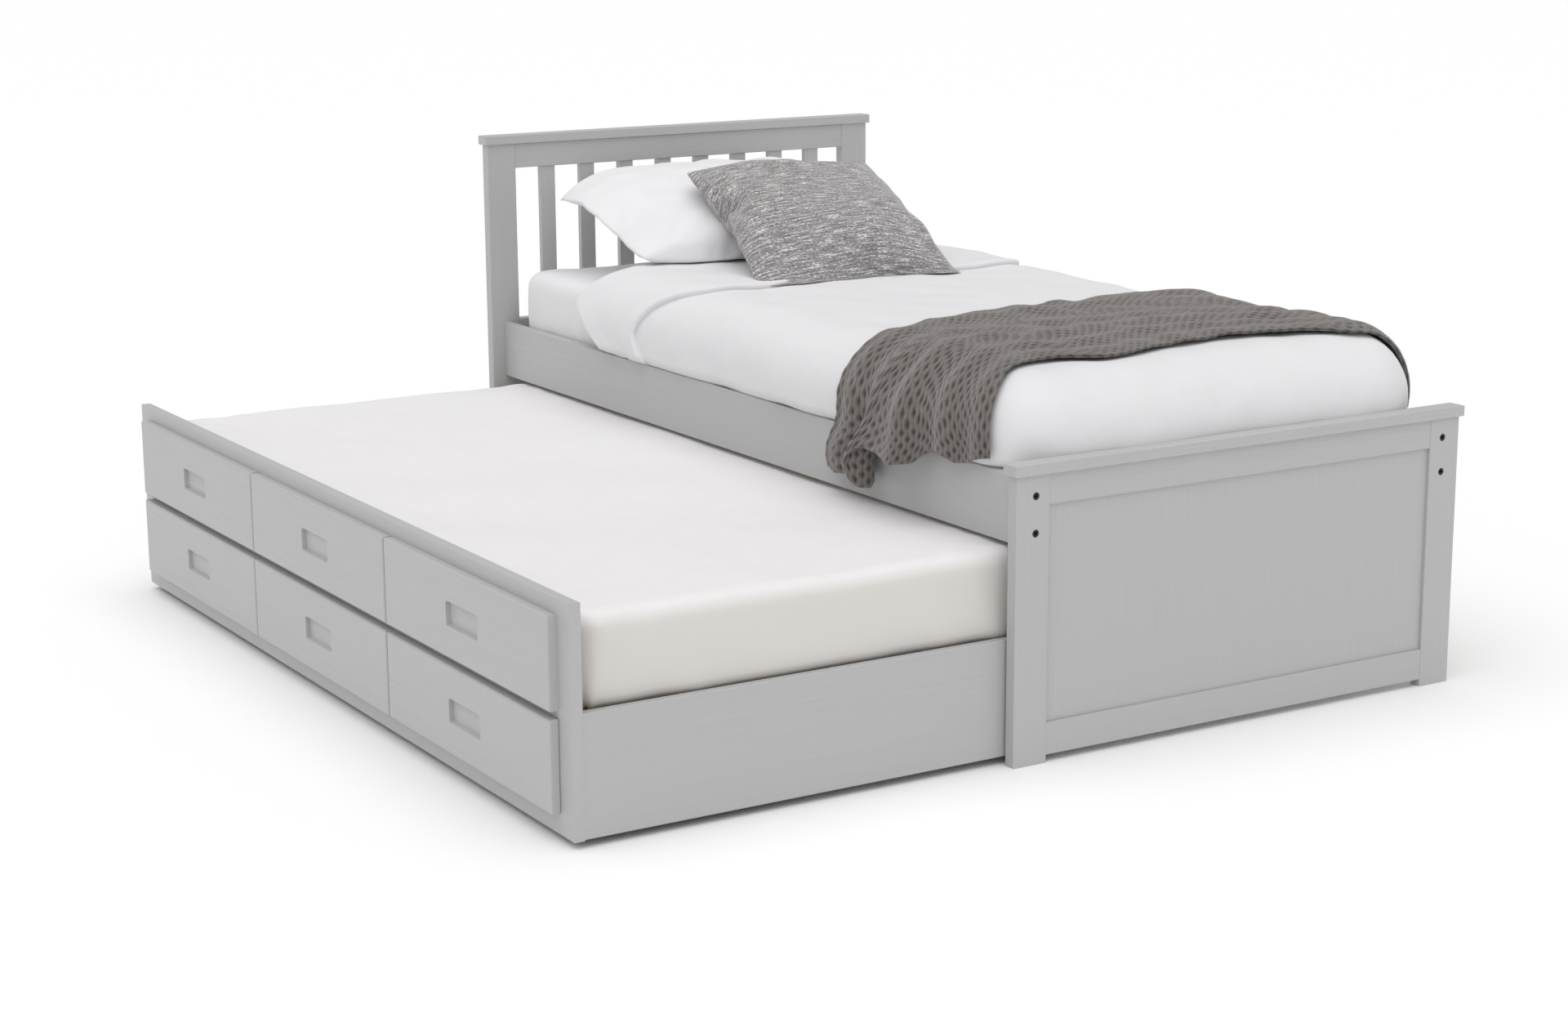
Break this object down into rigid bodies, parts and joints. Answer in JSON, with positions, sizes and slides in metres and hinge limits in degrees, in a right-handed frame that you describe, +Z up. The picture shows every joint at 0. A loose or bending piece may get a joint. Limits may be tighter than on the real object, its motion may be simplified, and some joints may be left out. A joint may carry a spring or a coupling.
{
  "type": "trundle bed",
  "caption": "Painted wooden single bed with slatted headboard and a castored pull-out guest bed beneath, fronted with drawers, made up with mattresses, duvet, pillow, cushion and throw.",
  "frame": {"origin": "on the floor, at the middle of the bed's length and of its whole depth with the trundle pulled out", "axes": "+X from the headboard to the footboard, +Y towards the back of the bed (the trundle pulls out towards -Y), +Z up"},
  "size_m": [2.042, 1.845, 0.917],
  "materials": {
    "painted_wood": "satin",
    "bare_pine": "matte",
    "drawer_board": "satin",
    "bolt_steel": "satin",
    "zinc_steel": "satin",
    "castor_nylon": "matte",
    "mattress_cover": "matte",
    "white_cotton": "matte",
    "grey_tweed": "matte",
    "taupe_knit": "matte"
  },
  "bodies": {
    "bed": {"headboard_post_front": "painted_wood", "headboard_post_back": "painted_wood", "headboard_cap": "painted_wood", "headboard_top_rail": "painted_wood", "headboard_slats": "painted_wood", "headboard_mid_rail": "painted_wood", "headboard_panel": "painted_wood", "headboard_bottom_rail": "painted_wood", "footboard_post_front": "painted_wood", "footboard_post_back": "painted_wood", "footboard_cap": "painted_wood", "footboard_top_rail": "painted_wood", "footboard_panel": "painted_wood", "footboard_bottom_rail": "painted_wood", "side_rail_front": "painted_wood", "side_rail_back": "painted_wood", "slat_ledges": "bare_pine", "bed_slats": "bare_pine", "frame_bolts": "bolt_steel", "barrel_nuts": "zinc_steel", "main_mattress": "mattress_cover", "duvet": "white_cotton", "pillow": "white_cotton", "scatter_cushion": "grey_tweed", "throw_blanket": "taupe_knit"},
    "trundle": {"trundle_fascia": "painted_wood", "false_front_left": "painted_wood", "false_front_middle": "painted_wood", "false_front_right": "painted_wood", "trundle_end_head": "painted_wood", "trundle_end_foot": "painted_wood", "trundle_back": "painted_wood", "trundle_divider_left": "bare_pine", "trundle_divider_right": "bare_pine", "base_rail_front": "bare_pine", "base_rail_back": "bare_pine", "trundle_slat_ledges": "bare_pine", "trundle_slats": "bare_pine", "trundle_mattress": "mattress_cover", "castor_brackets": "zinc_steel", "castor_axles": "zinc_steel", "drawer_runners": "bare_pine"},
    "drawer_left": {"drawer_front_left": "painted_wood", "drawer_box_left": "bare_pine", "drawer_bottom_left": "drawer_board"},
    "drawer_middle": {"drawer_front_middle": "painted_wood", "drawer_box_middle": "bare_pine", "drawer_bottom_middle": "drawer_board"},
    "drawer_right": {"drawer_front_right": "painted_wood", "drawer_box_right": "bare_pine", "drawer_bottom_right": "drawer_board"},
    "wheel_front_left": {"castor_wheel_front_left": "castor_nylon"},
    "wheel_front_middle": {"castor_wheel_front_middle": "castor_nylon"},
    "wheel_front_right": {"castor_wheel_front_right": "castor_nylon"},
    "wheel_back_left": {"castor_wheel_back_left": "castor_nylon"},
    "wheel_back_middle": {"castor_wheel_back_middle": "castor_nylon"},
    "wheel_back_right": {"castor_wheel_back_right": "castor_nylon"}
  },
  "joints": [
    {"name": "trundle_slide", "type": "slide", "parent": "bed", "child": "trundle", "axis": [0, -1, 0], "range_m": [-0.83, 0.15]},
    {"name": "drawer_left_slide", "type": "slide", "parent": "trundle", "child": "drawer_left", "axis": [0, -1, 0], "range_m": [0, 0.35]},
    {"name": "drawer_middle_slide", "type": "slide", "parent": "trundle", "child": "drawer_middle", "axis": [0, -1, 0], "range_m": [0, 0.35]},
    {"name": "drawer_right_slide", "type": "slide", "parent": "trundle", "child": "drawer_right", "axis": [0, -1, 0], "range_m": [0, 0.35]},
    {"name": "castor_front_left_roll", "type": "hinge", "parent": "trundle", "child": "wheel_front_left", "pos_m": [-0.881, -0.8395, 0.025], "axis": [1, 0, 0], "continuous": true},
    {"name": "castor_front_middle_roll", "type": "hinge", "parent": "trundle", "child": "wheel_front_middle", "pos_m": [0, -0.8395, 0.025], "axis": [1, 0, 0], "continuous": true},
    {"name": "castor_front_right_roll", "type": "hinge", "parent": "trundle", "child": "wheel_front_right", "pos_m": [0.881, -0.8395, 0.025], "axis": [1, 0, 0], "continuous": true},
    {"name": "castor_back_left_roll", "type": "hinge", "parent": "trundle", "child": "wheel_back_left", "pos_m": [-0.881, -0.0275, 0.025], "axis": [1, 0, 0], "continuous": true},
    {"name": "castor_back_middle_roll", "type": "hinge", "parent": "trundle", "child": "wheel_back_middle", "pos_m": [0, -0.0275, 0.025], "axis": [1, 0, 0], "continuous": true},
    {"name": "castor_back_right_roll", "type": "hinge", "parent": "trundle", "child": "wheel_back_right", "pos_m": [0.881, -0.0275, 0.025], "axis": [1, 0, 0], "continuous": true}
  ],
  "couplings": [
    {"joint": "castor_front_left_roll", "follows": "trundle_slide", "rad_per_m": 40},
    {"joint": "castor_front_middle_roll", "follows": "trundle_slide", "rad_per_m": 40},
    {"joint": "castor_front_right_roll", "follows": "trundle_slide", "rad_per_m": 40},
    {"joint": "castor_back_left_roll", "follows": "trundle_slide", "rad_per_m": 40},
    {"joint": "castor_back_middle_roll", "follows": "trundle_slide", "rad_per_m": 40},
    {"joint": "castor_back_right_roll", "follows": "trundle_slide", "rad_per_m": 40}
  ]
}
